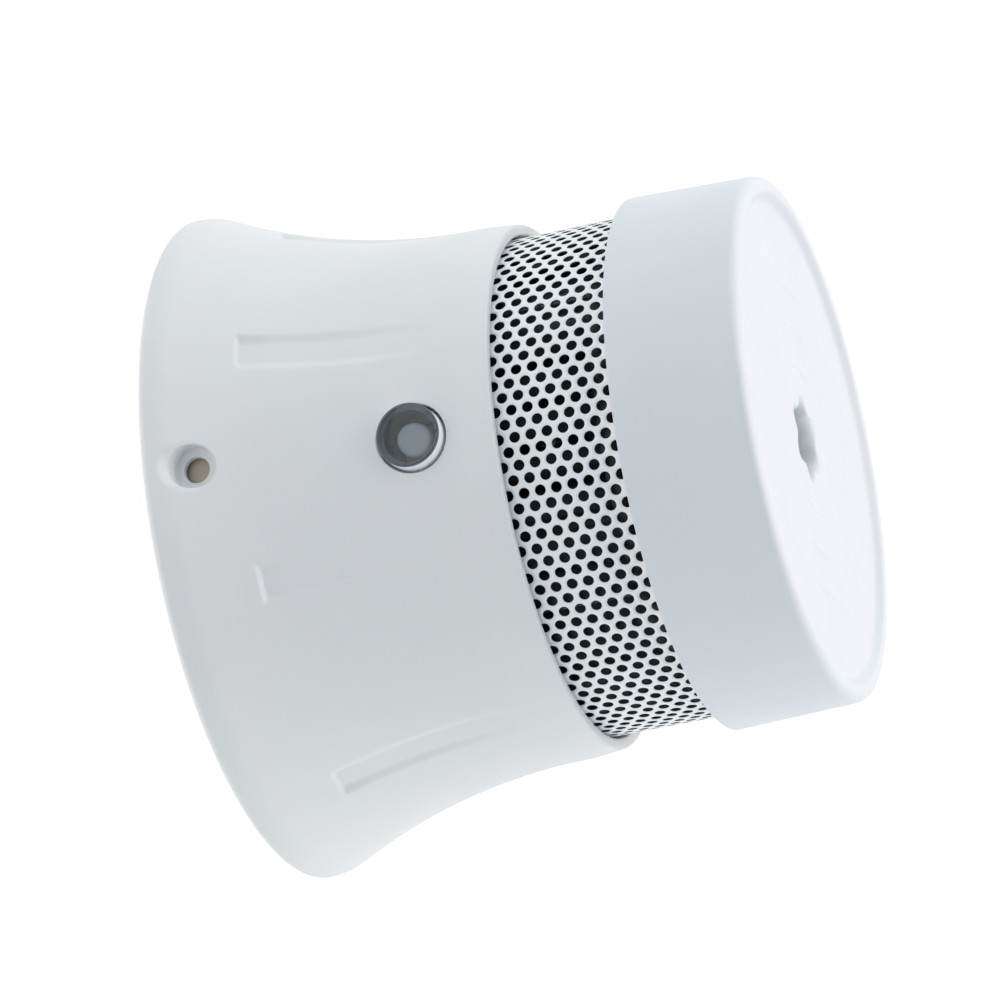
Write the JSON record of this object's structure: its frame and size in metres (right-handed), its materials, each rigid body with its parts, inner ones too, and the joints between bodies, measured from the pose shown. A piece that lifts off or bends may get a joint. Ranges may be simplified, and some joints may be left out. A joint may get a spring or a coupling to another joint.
{
  "type": "smoke detector",
  "caption": "Small round battery smoke alarm: flared bell housing with finger grooves, perforated smoke inlet band, cylindrical sounder cap, clear side test button and twist-off mounting plate.",
  "frame": {"origin": "centre of the mounting plate's back face, on the alarm's axis", "axes": "+Z along the axis from the ceiling or wall towards the face of the cap, -Y towards the test button and the tamper screw hole, +X completes the right-handed frame"},
  "size_m": [0.063, 0.063, 0.0556],
  "materials": {
    "housing_white": "fine-textured satin moulded ABS",
    "plate_white": "satin moulded ABS",
    "band_white": "white powder-coated perforated steel",
    "chamber_black": "semi-gloss black moulding",
    "black_plastic": "matt black moulding",
    "clear_acrylic": "clear polished acrylic",
    "led_lens": "water-clear epoxy dome",
    "brass": "plain brass",
    "ceramic_grey": "silvered piezo ceramic",
    "zinc_screw": "zinc-plated steel",
    "nickel_strip": "nickel strip",
    "board_green": "solder mask",
    "cell_wrap": "printed-free shrink wrap",
    "can_aluminium": "drawn aluminium can",
    "coil_copper": "enamelled copper winding",
    "foam_grey": "closed-cell foam",
    "label_silver": "blank polyester label"
  },
  "bodies": {
    "mount": {"mounting_plate": "plate_white", "lock_insert": "brass"},
    "detector": {"bell_housing": "housing_white", "rear_cover": "plate_white", "rear_cover_screws": "zinc_screw", "rating_label": "label_silver", "battery_cell": "cell_wrap", "battery_holder": "black_plastic", "battery_tab_positive": "nickel_strip", "battery_tab_negative": "nickel_strip", "main_board": "board_green", "microcontroller": "black_plastic", "capacitor": "can_aluminium", "boost_coil": "coil_copper", "tact_switch": "black_plastic", "indicator_led": "led_lens", "chamber_base": "chamber_black", "ir_emitter": "led_lens", "photodiode": "black_plastic", "chamber_labyrinth": "chamber_black", "chamber_lid": "chamber_black", "screen_band": "band_white", "front_cap": "housing_white", "cap_screws": "zinc_screw", "sounder_disc": "brass", "sounder_ceramic": "ceramic_grey", "sounder_ring": "plate_white", "sounder_gasket": "foam_grey", "sounder_contacts": "nickel_strip"},
    "test_button": {"test_button": "clear_acrylic", "switch_plunger": "black_plastic"}
  },
  "joints": [
    {"name": "bayonet_twist", "type": "hinge", "parent": "mount", "child": "detector", "pos_m": [0, 0, 0.005], "axis": [0, 0, 1], "range_deg": [0, 25]},
    {"name": "test_press", "type": "slide", "parent": "detector", "child": "test_button", "axis": [0, 1, 0], "range_m": [0, 0.0008], "stiffness_N_per_m": 1500}
  ]
}
